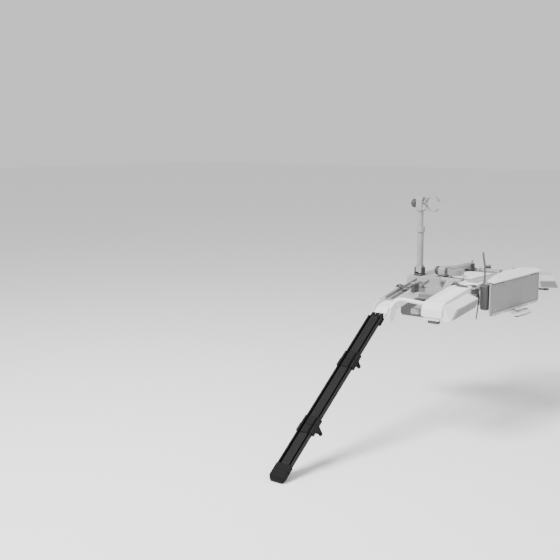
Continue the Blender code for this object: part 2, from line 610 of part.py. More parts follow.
def ramp():
    """Three channel sections that fold under each other, a hook head and a rubber foot."""
    ends = (0.0135, *RAMP_JOINTS, RAMP_LENGTH - 0.080)
    for index, (start, end) in enumerate(zip(ends, ends[1:]), 1):
        ramp_section("ramp_section_%d" % index, start, end)
    for index, (joint, height) in enumerate(zip(RAMP_JOINTS, RAMP_PINS), 1):
        ramp_sleeve("ramp_sleeve_%d_upper" % index, joint, -1, height, True)
        ramp_sleeve("ramp_sleeve_%d_lower" % index, joint, 1, height, False)
        shoulder, end = RAMP_HALF_WIDTH + 0.0063, RAMP_HALF_WIDTH + 0.0090
        profile = [(0.0, end), (0.007, end), (0.007, shoulder), (0.0040, shoulder),
                   (0.0040, -shoulder), (0.007, -shoulder), (0.007, -end), (0.0, -end)]
        turned("ramp_hinge_pin_%d" % index, profile, on_ramp(joint, height), Y_AXIS, STEEL, 12)

    start = RAMP_LENGTH - 0.080
    sections = []
    for along, half, high, low in ((start, 0.0365, 0.010, -0.010),
                                   (start + 0.004, 0.038, 0.0125, -0.012),
                                   (start + 0.064, 0.038, 0.0125, -0.012),
                                   (RAMP_LENGTH, 0.031, 0.002, -0.012)):
        sections.append([on_ramp(along, low, -half), on_ramp(along, high - 0.003, -half),
                         on_ramp(along, high, -half + 0.003), on_ramp(along, high, half - 0.003),
                         on_ramp(along, high - 0.003, half), on_ramp(along, low, half)])
    loft("ramp_foot", sections, RUBBER, 0.001)

    hook_half = 0.0415
    plate = slab("ramp_hook", [(0.0132, -0.0125), (0.052, -0.0135), (0.052, -0.0103), (0.0134, -0.0103),
                               (0.0134, 0.006), (0.010, 0.004), (0.0105, -0.008)],
                 on_ramp(0.0), DOWN, OUT, 2 * hook_half, RUBBER)
    rod_along = (ROD_CENTRE - RAMP_TOP).dot(DOWN)
    rod_height = (ROD_CENTRE - RAMP_TOP).dot(OUT)
    claw = (arc(rod_along, rod_height, 0.0085, -60, 165, 9)
            + arc(rod_along, rod_height, 0.0045, 165, -60, 9))
    claws = [slab("claw", claw, on_ramp(0.0, 0.0, across), DOWN, OUT, 0.016, RUBBER)
             for across in (-0.022, 0.0, 0.022)]
    bridge = slab("bridge", [(rod_along + 0.006, rod_height - 0.003), (0.0135, -0.010), (0.0135, 0.004),
                             (rod_along + 0.006, rod_height + 0.005)],
                  on_ramp(0.0), DOWN, OUT, 0.060, RUBBER)
    join(plate, bridge, *claws)


coupling()
platform()
number_plate()
foot_pedal()
for wing_side in (-1, 1):
    wing(wing_side)
    tray_slider(wing_side)
    tray_name = side_name(wing_side)
    front_edge = FRONT_TRAY_Y - FRONT_TRAY_WIDTH / 2
    rear_edge = REAR_TRAY_Y - REAR_TRAY_WIDTH / 2
    wheel_strap(tray_name + "_front", wing_side, 0.375, front_edge, 0.139, 0.180)
    wheel_strap(tray_name + "_rear", wing_side, 0.316, rear_edge, 0.154, 0.176)
frame_arm("arm_1", ARM_1, Z_AXIS, X_AXIS, 0.0)
frame_arm("arm_2", ARM_2, -X_AXIS, Z_AXIS, -ARM_STROKE)
ramp()
for piece in PARTS.objects:
    if piece.type == "MESH":
        piece.data.shade_smooth()
        piece.data.set_sharp_from_angle(angle=radians(35.0))
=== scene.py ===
"""Looks of the folding bike carrier and its loading ramp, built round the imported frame."""
import json
from math import cos, pi, radians, sin

import bmesh
import bpy
from mathutils import Matrix, Vector


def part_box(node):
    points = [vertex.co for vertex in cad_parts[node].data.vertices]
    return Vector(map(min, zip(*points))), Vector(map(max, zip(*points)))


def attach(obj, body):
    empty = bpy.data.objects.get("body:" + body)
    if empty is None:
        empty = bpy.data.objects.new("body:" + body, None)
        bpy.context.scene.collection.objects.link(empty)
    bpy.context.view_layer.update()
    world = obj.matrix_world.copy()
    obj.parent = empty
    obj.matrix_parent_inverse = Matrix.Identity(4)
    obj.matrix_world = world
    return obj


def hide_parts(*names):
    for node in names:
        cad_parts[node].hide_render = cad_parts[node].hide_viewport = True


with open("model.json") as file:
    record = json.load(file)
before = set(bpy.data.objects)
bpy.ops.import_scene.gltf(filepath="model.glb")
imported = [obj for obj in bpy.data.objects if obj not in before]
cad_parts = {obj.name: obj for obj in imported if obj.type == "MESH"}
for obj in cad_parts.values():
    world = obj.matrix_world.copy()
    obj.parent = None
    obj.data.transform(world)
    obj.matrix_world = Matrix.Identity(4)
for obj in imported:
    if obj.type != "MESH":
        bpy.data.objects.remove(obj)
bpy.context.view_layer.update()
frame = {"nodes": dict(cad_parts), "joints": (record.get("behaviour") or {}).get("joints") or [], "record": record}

# ------------------------------------------------------------------ places, from the frame
JOINTS = {joint["name"]: joint for joint in frame["joints"]}
SLOTS = {part["node"]: part["material_slot"] for part in frame["record"]["subparts"]}
BODY_OF = {node: body for body, nodes in frame["record"]["behaviour"]["bodies"].items() for node in nodes}
GROUND_Z = -0.525               # the ball's centre is the origin
RAMP_SLOPE = radians(38.0)
TRAY_SLOPE = radians(11.0)
DOWN = Vector((-cos(RAMP_SLOPE), 0.0, -sin(RAMP_SLOPE)))
OUT = Vector((-sin(RAMP_SLOPE), 0.0, cos(RAMP_SLOPE)))
RAMP_TOP = Vector((-0.625, -0.190, 0.062))
FRONT_TRAY_Y = -0.190
REAR_TRAY_Y = -0.4635
TRAY_ROOT = (0.205, 0.168)      # distance from the centre plane and height of the tray floor there
X_AXIS, Y_AXIS, Z_AXIS = Vector((1, 0, 0)), Vector((0, 1, 0)), Vector((0, 0, 1))
SLEEVE_GAP, SLEEVE_REACH = 0.0008, 0.0418      # a sleeve half, from the seam between two sections
FRONT_STRAP_X, REAR_STRAP_X = 0.375, 0.316     # distance of the wheel straps from the centre plane
FRONT_RIM = 0.0265              # height of the front tray's rims over its floor
REAR_RIM_Z = 0.1868
PEDAL_Y = -0.612                # middle of the foot pedal
PEDAL_TOP_Z = 0.0430
PEDAL_RISE = Vector((0, 0.9923, 0.1240))       # up the pedal's sloped face, towards the tow ball
LEVER_GAP_SCALE = 0.96          # thins the clamp lever by a working gap to its bolt head


def low(node):
    """Lowest corner of a CAD node's box."""
    return Vector(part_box(node)[0])


def high(node):
    """Highest corner of a CAD node's box."""
    return Vector(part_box(node)[1])


# ------------------------------------------------------------------ camera
CAMERA_PLACE = (-4.2688, -2.5464, 0.8897)
CAMERA_YAW, CAMERA_PITCH = radians(38.765), radians(8.775)
SENSOR_WIDTH, FOCAL_LENGTH = 36.0, 61.587      # millimetres


def camera():
    """A camera that looks along its yaw and down by its pitch."""
    data = bpy.data.cameras.new("camera")
    data.sensor_width = SENSOR_WIDTH
    data.lens = FOCAL_LENGTH
    data.clip_end = 60.0
    made = bpy.data.objects.new("camera", data)
    bpy.context.scene.collection.objects.link(made)
    made.location = CAMERA_PLACE
    yaw, pitch = CAMERA_YAW, CAMERA_PITCH
    look = Vector((cos(yaw) * cos(pitch), sin(yaw) * cos(pitch), -sin(pitch)))
    made.rotation_euler = look.to_track_quat("-Z", "Y").to_euler()
    bpy.context.scene.camera = made


# ------------------------------------------------------------------ materials
class Nodes:
    """A small builder for one material's node tree."""

    def __init__(self, name):
        self.material = bpy.data.materials.new(name)
        self.material.use_nodes = True
        self.tree = self.material.node_tree
        self.shader = self.tree.nodes["Principled BSDF"]
        self.place = self.add("ShaderNodeTexCoord").outputs["Object"]

    def add(self, kind, **settings):
        node = self.tree.nodes.new(kind)
        for key, value in settings.items():
            setattr(node, key, value)
        return node

    def link(self, source, target):
        self.tree.links.new(source, target)

    def stretched(self, scale, rotation=(0.0, 0.0, 0.0)):
        """The object's own coordinates, scaled along each axis and turned."""
        mapping = self.add("ShaderNodeMapping")
        mapping.inputs["Rotation"].default_value = rotation
        mapping.inputs["Scale"].default_value = scale
        self.link(self.place, mapping.inputs["Vector"])
        return mapping.outputs["Vector"]

    def noise(self, scale, detail=3.0, vector=None, roughness=0.55):
        node = self.add("ShaderNodeTexNoise")
        node.inputs["Scale"].default_value = scale
        node.inputs["Detail"].default_value = detail
        node.inputs["Roughness"].default_value = roughness
        self.link(vector or self.place, node.inputs["Vector"])
        return node.outputs["Fac"]

    def wave(self, direction, scale):
        """Even bands along one axis."""
        node = self.add("ShaderNodeTexWave", wave_type="BANDS", wave_profile="SIN",
                        bands_direction=direction)
        node.inputs["Scale"].default_value = scale
        self.link(self.place, node.inputs["Vector"])
        return node.outputs["Fac"]

    def span(self, value, start, end, from_low=0.3, from_high=0.7):
        """A value carried from one range to another."""
        node = self.add("ShaderNodeMapRange")
        numbers = (("From Min", from_low), ("From Max", from_high), ("To Min", start), ("To Max", end))
        for key, number in numbers:
            node.inputs[key].default_value = number
        self.link(value, node.inputs["Value"])
        return node.outputs["Result"]

    def mix(self, amount, first, second, blend="MIX"):
        node = self.add("ShaderNodeMix", data_type="RGBA", blend_type=blend)
        for socket, colour in ((node.inputs[6], first), (node.inputs[7], second)):
            if isinstance(colour, tuple):
                socket.default_value = (*colour, 1.0)
            else:
                self.link(colour, socket)
        if isinstance(amount, float):
            node.inputs[0].default_value = amount
        else:
            self.link(amount, node.inputs[0])
        return node.outputs[2]

    def edges(self, start=0.52, end=0.60):
        """1 on worn convex edges, 0 elsewhere."""
        point = self.add("ShaderNodeNewGeometry").outputs["Pointiness"]
        return self.span(point, 0.0, 1.0, start, end)

    def bump(self, height, strength, distance, below=None):
        node = self.add("ShaderNodeBump")
        node.inputs["Strength"].default_value = strength
        node.inputs["Distance"].default_value = distance
        self.link(height, node.inputs["Height"])
        if below:
            self.link(below, node.inputs["Normal"])
        return node.outputs["Normal"]

    def done(self, colour, roughness, normal):
        """The material, with its three results joined to the shader."""
        self.link(colour, self.shader.inputs["Base Color"])
        self.link(roughness, self.shader.inputs["Roughness"])
        self.link(normal, self.shader.inputs["Normal"])
        return self.material


def shade(colour, factor):
    """A lighter or darker colour."""
    return tuple(min(1.0, channel * factor) for channel in colour)


def plastic(name, colour, rough, grain=1400.0, bump=0.25, wear=1.12, blotch=0.05):
    """Moulded plastic: a fine grained skin, faint flow marks and rubbed edges."""
    n = Nodes(name)
    flow = n.mix(n.span(n.noise(9.0, 4.0), 0.0, 1.0), shade(colour, 1.0 - blotch),
                 shade(colour, 1.0 + blotch))
    dirt = n.mix(n.span(n.noise(60.0, 5.0), 0.0, 0.5, 0.5, 0.8), flow, shade(colour, 0.90))
    base = n.mix(n.edges(), dirt, shade(colour, wear))
    roughness = n.span(n.noise(140.0, 4.0), rough - 0.07, rough + 0.07)
    skin = n.bump(n.noise(grain, 2.0), bump, 0.0004)
    return n.done(base, roughness, n.bump(n.noise(22.0, 2.0), 0.08, 0.002, skin))


def coated_metal(name, colour, rough):
    """Powder coat: orange-peel skin, darker specks, bare on sharp edges."""
    n = Nodes(name)
    tone = n.mix(n.span(n.noise(14.0, 4.0), 0.0, 1.0), shade(colour, 0.95), shade(colour, 1.05))
    specks = n.mix(n.span(n.noise(900.0, 2.0), 0.0, 0.35, 0.55, 0.75), tone, shade(colour, 0.82))
    base = n.mix(n.edges(0.54, 0.62), specks, shade(colour, 1.2))
    roughness = n.span(n.noise(240.0, 3.0), rough - 0.06, rough + 0.08)
    peel = n.bump(n.noise(420.0, 2.0), 0.22, 0.0006)
    return n.done(base, roughness, peel)


def steel(name, colour, rough, grain=(1.0, 40.0, 40.0)):
    """Drawn or zinc-plated steel with fine lines."""
    n = Nodes(name)
    lines = n.noise(60.0, 5.0, n.stretched(grain), 0.7)
    base = n.mix(n.span(lines, 0.0, 1.0), shade(colour, 0.86), shade(colour, 1.08))
    stain = n.mix(n.span(n.noise(35.0, 4.0), 0.0, 0.5, 0.5, 0.75), base, shade(colour, 0.72))
    n.shader.inputs["Metallic"].default_value = 0.85
    roughness = n.span(lines, rough - 0.08, rough + 0.10)
    return n.done(stain, roughness, n.bump(lines, 0.18, 0.0003))


def ribbed_lens(name, colour):
    """Clear-coated lens with fine vertical prisms; the prisms' light and shade is also painted into the colour as
    faint bands.
    """
    n = Nodes(name)
    wave = n.wave("X", 95.0)
    cross = n.wave("Z", 60.0)
    # painted shading of the prism facets: lighter and darker bands in step with the prism bumps
    tone = n.mix(n.span(wave, 0.0, 1.0, 0.0, 1.0), shade(colour, 0.93), shade(colour, 1.04))
    n.shader.inputs["Coat Weight"].default_value = 0.35
    n.shader.inputs["Coat Roughness"].default_value = 0.12
    roughness = n.span(n.noise(180.0, 2.0), 0.26, 0.36)
    prisms = n.bump(wave, 0.22, 0.0008)
    return n.done(tone, roughness, n.bump(cross, 0.12, 0.0006, prisms))


def ramp_plastic(name, colour, rough, wear):
    """Glass-filled black plastic: swirled sheen, scuffs that run down the ramp, grey edges."""
    n = Nodes(name)
    down_the_ramp = n.stretched((1.0, 26.0, 26.0), (0.0, -RAMP_SLOPE, 0.0))
    streaks = n.noise(16.0, 6.0, down_the_ramp, 0.65)
    tone = n.mix(n.span(n.noise(18.0, 4.0), 0.0, 1.0), shade(colour, 0.85), shade(colour, 1.2))
    scuffed = n.mix(n.span(streaks, 0.0, 0.35, 0.55, 0.75), tone, shade(colour, 2.1))
    base = n.mix(n.edges(), scuffed, shade(colour, wear))
    roughness = n.span(n.noise(90.0, 4.0), rough - 0.08, rough + 0.08)
    grain = n.bump(n.noise(1600.0, 2.0), 0.25, 0.0004)
    return n.done(base, roughness, n.bump(streaks, 0.10, 0.0006, grain))


BLACK_SPECULAR = 0.14       # low, so the blacks stay deep under white light
MATERIALS = {
    "pale_plastic": plastic("pale_plastic", (0.720, 0.720, 0.725), 0.52, wear=1.06, blotch=0.02),
    "grey_metal": coated_metal("grey_metal", (0.270, 0.270, 0.273), 0.50),
    "dark_plastic": plastic("dark_plastic", (0.045, 0.045, 0.046), 0.55, wear=1.5, blotch=0.08),
    "steel": steel("steel", (0.50, 0.50, 0.51), 0.34),
    # the lens grey is darker than the body partly as painted shade on the rear-facing lens
    "lens": ribbed_lens("lens", (0.210, 0.210, 0.213)),
    "black_plastic": ramp_plastic("black_plastic", (0.0065, 0.0065, 0.0067), 0.46, 3.4),
    "black_rubber": plastic("black_rubber", (0.0042, 0.0042, 0.0043), 0.66, 700.0, 0.4, 2.2, 0.15),
}
PLATE_GREY = coated_metal("plate_grey", (0.255, 0.255, 0.258), 0.48)
RIM_GREY = plastic("rim_grey", (0.440, 0.440, 0.443), 0.52, wear=1.08)
# near-black: under the plate hood it is painted shadow; it also colours the front tray treads and the pedal sole
PAINTED_SHADOW_AND_DARK_PARTS = plastic("painted_shadow_and_dark_parts", (0.020, 0.020, 0.021), 0.75, wear=1.3)
LADDER = plastic("ladder_strap", (0.080, 0.080, 0.082), 0.5, wear=1.25)
for black in ("black_plastic", "black_rubber"):
    black_shader = MATERIALS[black].node_tree.nodes["Principled BSDF"]
    black_shader.inputs["Specular IOR Level"].default_value = BLACK_SPECULAR


# ------------------------------------------------------------------ pieces
def piece(name, bm, finish, body, replaces=(), bevel=0.0, segments=3, angle=30.0):
    """A mesh piece that rides on a body, with rounded edges."""
    bmesh.ops.recalc_face_normals(bm, faces=bm.faces)
    mesh = bpy.data.meshes.new(name)
    bm.to_mesh(mesh)
    bm.free()
    mesh.materials.append(finish)
    made = bpy.data.objects.new(name, mesh)
    bpy.context.scene.collection.objects.link(made)
    finish_edges(made, bevel, segments, angle)
    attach(made, body)
    if replaces:
        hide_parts(*replaces)
    return made


def finish_edges(made, bevel, segments=3, angle=30.0):
    """Smooth shading, with a bevel on the edges sharper than an angle."""
    made.data.shade_smooth()
    if bevel:
        modifier = made.modifiers.new("round", "BEVEL")
        modifier.width = bevel
        modifier.segments = segments
        modifier.limit_method = "ANGLE"
        modifier.angle_limit = radians(angle)
        modifier.harden_normals = True
    weighted = made.modifiers.new("normals", "WEIGHTED_NORMAL")
    weighted.keep_sharp = True


def refine(node, bevel, segments=3, finish=None, angle=30.0):
    """The CAD piece again with clean flat faces and rounded edges."""
    bm = bmesh.new()
    bm.from_mesh(frame["nodes"][node].data)
    bmesh.ops.remove_doubles(bm, verts=bm.verts, dist=0.00002)
    bmesh.ops.dissolve_limit(bm, angle_limit=radians(2.0), verts=bm.verts, edges=bm.edges)
    return piece(node + "_shell", bm, finish or MATERIALS[SLOTS[node]], BODY_OF[node],
                 (node,), bevel, segments, angle)


def block(bm, centre, size, turn=None):
    """A box inside a bmesh, turned by a matrix about its centre."""
    matrix = Matrix.Translation(centre) @ (turn or Matrix.Identity(4)) @ Matrix.Diagonal((*size, 1.0))
    bmesh.ops.create_cube(bm, size=1.0, matrix=matrix)


def bridge(bm, rings):
    """Faces between each ring of corners and the next one."""
    for first, second in zip(rings, rings[1:]):
        for i in range(len(first)):
            j = (i + 1) % len(first)
            bm.faces.new((first[i], first[j], second[j], second[i]))


def rib(middle, foot_half, crest_half, foot, crest):
    """Outline of a rib that narrows from its foot to its crest."""
    return [(middle - foot_half, foot), (middle + foot_half, foot),
            (middle + crest_half, crest), (middle - crest_half, crest)]


def extruded(bm, outline, origin, along, first, second, start, end):
    """A prism: an outline in (first, second) swept from start to end along a direction."""
    rows = [[bm.verts.new(origin + x * first + y * second + reach * along) for x, y in outline]
            for reach in (start, end)]
    bridge(bm, rows)
    bm.faces.new(rows[0])
    bm.faces.new(reversed(rows[1]))


def turned_into(bm, profile, centre, axis, steps=24):
    """A turned solid: (radius, height) pairs, closed on the axis at both ends."""
    centre, axis = Vector(centre), Vector(axis).normalized()
    side = axis.orthogonal().normalized()
    other = axis.cross(side)
    rings = []
    for radius, height in profile:
        if radius < 1e-6:
            rings.append([bm.verts.new(centre + height * axis)])
            continue
        ring = []
        for i in range(steps):
            turn = 2 * pi * i / steps
            reach = radius * (cos(turn) * side + sin(turn) * other)
            ring.append(bm.verts.new(centre + height * axis + reach))
        rings.append(ring)
    for first, second in zip(rings, rings[1:]):
        for i in range(steps):
            j = (i + 1) % steps
            corners = [first[i % len(first)], first[j % len(first)], second[j % len(second)],
                       second[i % len(second)]]
            unique = list(dict.fromkeys(corners))
            if len(unique) > 2:
                bm.faces.new(unique)


def screw_head(bm, centre, axis, radius=0.004, height=0.0022):
    """Domed head with a hexagon socket."""
    axis = Vector(axis).normalized()
    profile = [(0.0, -0.001), (radius * 1.25, -0.001), (radius * 1.25, 0.0003), (radius, 0.0006),
               (radius * 0.92, height * 0.75), (radius * 0.7, height), (radius * 0.45, height),
               (radius * 0.42, height * 0.4), (0.0, height * 0.35)]
    turned_into(bm, profile, centre, axis, 20)


def turned_pin(name, half, joint, axis, body):
    """Steel pin at a joint, alike at both ends; half is its profile from one end."""
    bm = bmesh.new()
    profile = half + [(radius, -height) for radius, height in reversed(half)]
    turned_into(bm, profile, JOINTS[joint]["pos_m"], axis, 18)
    piece(name, bm, MATERIALS["steel"], body)


# ------------------------------------------------------------------ ramp
def on_ramp(along, height=0.0, across=0.0):
    """A place measured down, out of and across the ramp."""
    return RAMP_TOP + along * DOWN + height * OUT + across * Y_AXIS


def ramp_span(node):
    """Where a node starts and ends along the ramp."""
    reach = [(vertex.co - RAMP_TOP).dot(DOWN) for vertex in frame["nodes"][node].data.vertices]
    return min(reach), max(reach)


def half_width(node):
    """Half the width of a piece of the ramp."""
    return high(node).y - FRONT_TRAY_Y


def ramp_section(node):
    """Channel with rolled rims, inner gutters, lengthwise ribs and cross treads."""
    start, end = ramp_span(node)
    half = half_width(node)
    floor = 0.0055      # the raised middle, above the line of the ramp
    # from the bottom edge up the outer wall, over the rim, along the gutter and onto the middle
    right = [(half - 0.0025, -0.0100), (half, -0.0070), (half, 0.0078), (half - 0.0014, 0.0095),
             (half - 0.0036, 0.0095), (half - 0.0066, 0.0068), (half - 0.0070, -0.0042),
             (half - 0.0162, -0.0042), (half - 0.0168, floor - 0.0009), (half - 0.0180, floor)]
    outline = right + [(-x, h) for x, h in reversed(right)]
    bm = bmesh.new()
    extruded(bm, outline, RAMP_TOP, DOWN, Y_AXIS, OUT, start, end)
    piece(node + "_channel", bm, MATERIALS["black_plastic"], BODY_OF[node], (node,), 0.0005, 2)
    bm = bmesh.new()
    flat = half - 0.0182
    for across in (-0.0130, -0.0065, 0.0, 0.0065, 0.0130):
        outline = rib(across, 0.0011, 0.0006, floor - 0.0003, floor + 0.0011)
        extruded(bm, outline, RAMP_TOP, DOWN, Y_AXIS, OUT, start + 0.002, end - 0.002)
    pitch = 0.0105
    count = int((end - start - 0.012) / pitch)
    for i in range(count):
        along = start + 0.008 + i * pitch
        outline = rib(along, 0.0021, 0.0010, floor - 0.0003, floor + 0.0019)
        extruded(bm, outline, RAMP_TOP, Y_AXIS, DOWN, OUT, -flat, flat)
    piece(node + "_treads", bm, MATERIALS["black_plastic"], BODY_OF[node],
          bevel=0.0003, segments=2)


def ramp_underside(node):
    """Two keels and cross webs under a section."""
    start, end = ramp_span(node)
    skin, pitch = -0.0098, 0.028
    bm = bmesh.new()
    for across in (-0.0175, 0.0175):
        extruded(bm, rib(across, 0.0014, 0.0010, skin, -0.0122), RAMP_TOP, DOWN, Y_AXIS, OUT,
                 start + 0.046, end - 0.046)
    for i in range(int((end - start - 0.12) / pitch)):
        along = start + 0.062 + pitch * i
        extruded(bm, rib(along, 0.001, 0.0008, skin, -0.0116), RAMP_TOP, Y_AXIS, DOWN, OUT, -0.0290, 0.0290)
    piece(node + "_keels", bm, MATERIALS["black_plastic"], BODY_OF[node],
          bevel=0.0003, segments=2)


def sleeve_top(node):
    """Ribbed pad and two rim lips that carry a sleeve's collar over the top of a section."""
    _, _, index, end = node.split("_")
    pin = Vector(JOINTS["ramp_fold_" + index]["pos_m"])
    seam = (pin - RAMP_TOP).dot(DOWN)
    if end == "upper":
        first, last = seam - SLEEVE_REACH, seam - SLEEVE_GAP
    else:
        first, last = seam + SLEEVE_GAP, seam + SLEEVE_REACH
    half = half_width(node)
    flat, rim = 0.0185, 0.0292      # half widths of the pad, and to the inner side of a lip
    bm = bmesh.new()
    pad = [(flat, 0.0076), (flat, 0.0092), (flat - 0.0012, 0.0104)]
    extruded(bm, pad + [(-x, h) for x, h in reversed(pad)], RAMP_TOP, DOWN, Y_AXIS, OUT, first, last)
    lip = [(rim, 0.0098), (0.0367, 0.0098), (0.0369, 0.0091), (half, 0.0091), (half, 0.0105),
           (half - 0.0014, 0.0120), (rim + 0.0020, 0.0120), (rim, 0.0108)]
    for sign in (-1, 1):
        extruded(bm, [(sign * x, h) for x, h in lip], RAMP_TOP, DOWN, Y_AXIS, OUT, first, last)
    for i in range(4):
        along = first + 0.006 + 0.0095 * i
        extruded(bm, rib(along, 0.0014, 0.0008, 0.0102, 0.0113), RAMP_TOP, Y_AXIS, DOWN, OUT,
                 -flat + 0.003, flat - 0.003)
    piece(node + "_cover", bm, MATERIALS["black_rubber"], BODY_OF[node],
          bevel=0.0004, segments=2)


def ramp():
    """Three sections, their hinges, the hook and the ribbed foot."""
    for index in (1, 2, 3):
        ramp_section("ramp_section_%d" % index)
        ramp_underside("ramp_section_%d" % index)
    for index in (1, 2):
        refine("ramp_hinge_pin_%d" % index, 0.0008, finish=MATERIALS["black_plastic"])
        for end in ("upper", "lower"):
            node = "ramp_sleeve_%d_%s" % (index, end)
            refine(node, 0.0007, 2)
            sleeve_top(node)
    refine("ramp_hook", 0.0008)
    refine("ramp_foot", 0.0015)
    start = ramp_span("ramp_foot")[0]
    bm = bmesh.new()
    for i in range(6):
        along = start + 0.010 + 0.0085 * i
        extruded(bm, rib(along, 0.0018, 0.0010, 0.0122, 0.0137), RAMP_TOP, Y_AXIS, DOWN, OUT,
                 -0.030, 0.030)
    for side in (-1, 1):
        centre = on_ramp(start + 0.034, 0.0, side * (half_width("ramp_foot") + 0.0001))
        screw_head(bm, centre, side * Y_AXIS, 0.0042)
    piece("ramp_foot_grips", bm, MATERIALS["black_rubber"], "ramp_bottom",
          bevel=0.0004, segments=2)


# ------------------------------------------------------------------ wings
def tray_point(side, along, y, height=0.0):
    """A place on the sloped front tray of one side."""
    out = Vector((side * cos(TRAY_SLOPE), 0.0, -sin(TRAY_SLOPE)))
    up = Vector((side * sin(TRAY_SLOPE), 0.0, cos(TRAY_SLOPE)))
    return Vector((side * TRAY_ROOT[0], y, TRAY_ROOT[1])) + along * out + height * up


def tray_axes(side):
    """Directions along the front tray, outward, and out of its floor."""
    out = tray_point(side, 1.0, 0.0) - tray_point(side, 0.0, 0.0)
    up = tray_point(side, 0.0, 0.0, 1.0) - tray_point(side, 0.0, 0.0)
    return out, up


def tray_treads(name, side):
    """Rubber cross ribs on the floor of the front tray."""
    out, up = tray_axes(side)
    origin = tray_point(side, 0.0, FRONT_TRAY_Y)
    floor, half, pitch = -0.0004, 0.0255, 0.012
    bm = bmesh.new()
    for i in range(22):
        outline = rib(0.020 + pitch * i, 0.0025, 0.0013, floor, floor + 0.0021)
        extruded(bm, outline, origin, Y_AXIS, out, up, -half, half)
    piece(name + "_front_tray_treads", bm, PAINTED_SHADOW_AND_DARK_PARTS, name + "_wing",
          bevel=0.0003, segments=2)


def rear_tray_details(name, side):
    """Cross ribs in the groove of the rear tray, on both of its slopes."""
    inner, knee, end = (0.216, 0.19415), (0.380, 0.1815), (0.566, 0.1498)
    middle = (high(name + "_rear_tray").y + low(name + "_rear_tray").y) / 2
    pitch = 0.016
    bm = bmesh.new()
    for (x0, z0), (x1, z1) in ((inner, knee), (knee, end)):
        run = Vector((side * (x1 - x0), 0.0, z1 - z0))
        length = run.length
        run.normalize()
        up = Vector((-run.z * side, 0.0, abs(run.x)))
        origin = Vector((side * x0, middle, z0 - 0.0071))
        for i in range(int((length - 0.006) / pitch)):
            outline = rib(0.008 + pitch * i, 0.0035, 0.0020, -0.001, 0.0016)
            extruded(bm, outline, origin, Y_AXIS, run, up, -0.0225, 0.0225)
    piece(name + "_rear_tray_treads", bm, MATERIALS["pale_plastic"], name + "_wing",
          bevel=0.0005, segments=2)


def light_details(name, side):
    """Bezel round the lens and the two walls between its chambers."""
    face = low(name + "_light_lens").y
    outline = [(0.3470, 0.1325), (0.5280, 0.1105), (0.5700, 0.0740), (0.3660, 0.1020)]
    centre_x, centre_z = sum(x for x, z in outline) / 4, sum(z for x, z in outline) / 4
    bm = bmesh.new()
    rows = []
    for grow, y in ((1.035, face + 0.0030), (1.035, face + 0.0004), (0.985, face - 0.0006),
                    (0.955, face + 0.0004)):
        row = []
        for x, z in outline:
            wide = centre_x + (x - centre_x) * grow
            tall = centre_z + (z - centre_z) * (1 + (grow - 1) * 3.0)
            row.append(bm.verts.new((side * wide, y, tall)))
        rows.append(row)
    bridge(bm, rows + rows[:1])
    piece(name + "_light_bezel", bm, PLATE_GREY, name + "_wing", bevel=0.0004, segments=2)
    bm = bmesh.new()
    corners = [Vector((side * x, face - 0.0002, z)) for x, z in outline]
    for share in (0.36, 0.68):
        top, bottom = corners[0].lerp(corners[1], share), corners[3].lerp(corners[2], share)
        rise = top - bottom
        block(bm, (top + bottom) / 2, (0.0022, 0.0012, rise.length * 0.90),
              Matrix.Rotation(rise.x / rise.z, 4, "Y"))
    piece(name + "_lens_dividers", bm, PLATE_GREY, name + "_wing", bevel=0.0003, segments=2)


def side_marker(name, side):
    """Pale base and dark lens under the outboard end of the rear tray."""
    for part, slot, nearest, farthest in (
            ("base", "pale_plastic", (0.572, -0.496, 0.0640), (0.602, -0.420, 0.0850)),
            ("lens", "dark_plastic", (0.576, -0.492, 0.0500), (0.599, -0.440, 0.0645))):
        nearest, farthest = Vector(nearest), Vector(farthest)
        centre = (nearest + farthest) / 2
        centre.x *= side
        bm = bmesh.new()
        block(bm, centre, tuple(farthest - nearest))
        piece("%s_side_marker_%s" % (name, part), bm, MATERIALS[slot], name + "_wing",
              bevel=0.0030, segments=4)


def strap_band(name, points, width, thickness, across, body, finish):
    """A flat strap along a path; across is its width direction."""
    path = smooth(points)
    bm = bmesh.new()
    rows = []
    for i, place in enumerate(path):
        ahead = path[min(i + 1, len(path) - 1)] - path[max(i - 1, 0)]
        normal = ahead.cross(across).normalized()
        rows.append([bm.verts.new(place + u * across * width / 2 + v * normal * thickness / 2)
                     for u, v in ((-1, -0.6), (-0.92, -1), (0.92, -1), (1, -0.6), (1, 0.6), (0.92, 1),
                                  (-0.92, 1), (-1, 0.6))])
    bridge(bm, rows)
    bm.faces.new(rows[0])
    bm.faces.new(reversed(rows[-1]))
    piece(name, bm, finish, body)


def smooth(points, per_span=8):
    """Places along a smooth curve through some points."""
    points = [Vector(p) for p in points]
    ends = [2 * points[0] - points[1]] + points + [2 * points[-1] - points[-2]]
    path = []
    for a, b, c, d in zip(ends, ends[1:], ends[2:], ends[3:]):
        for i in range(per_span):
            t = i / per_span
            path.append(0.5 * (2 * b + (c - a) * t + (2 * a - 5 * b + 4 * c - d) * t * t
                               + (3 * b - a - 3 * c + d) * t ** 3))
    return path + [points[-1]]


def loose_ends():
    """Free ends of the straps: two that stand up and one that hangs beside the number plate."""
    for name, body, width, across, points in (
            ("left_rear_tail", "left_wing", 0.010, Y_AXIS,
             [(-0.300, -0.524, 0.166), (-0.270, -0.5245, 0.166), (-0.238, -0.5245, 0.173),
              (-0.225, -0.524, 0.205), (-0.2255, -0.524, 0.268), (-0.2385, -0.524, 0.307),
              (-0.2465, -0.524, 0.340)]),
            ("right_front_tail", "right_tray_end", 0.010, Y_AXIS,
             [(0.3652, -0.1440, 0.1450), (0.3665, -0.1440, 0.1660), (0.3735, -0.1440, 0.1820),
              (0.3860, -0.1440, 0.2060)]),
            ("left_rear_hanging_end", "left_wing", 0.010, X_AXIS,
             [(-0.243, -0.5035, 0.148), (-0.2435, -0.5075, 0.122), (-0.2475, -0.5070, 0.101),
              (-0.2530, -0.5060, 0.064), (-0.2615, -0.5050, 0.024)])):
        strap_band(name, points, width, 0.0020, across, body, LADDER)


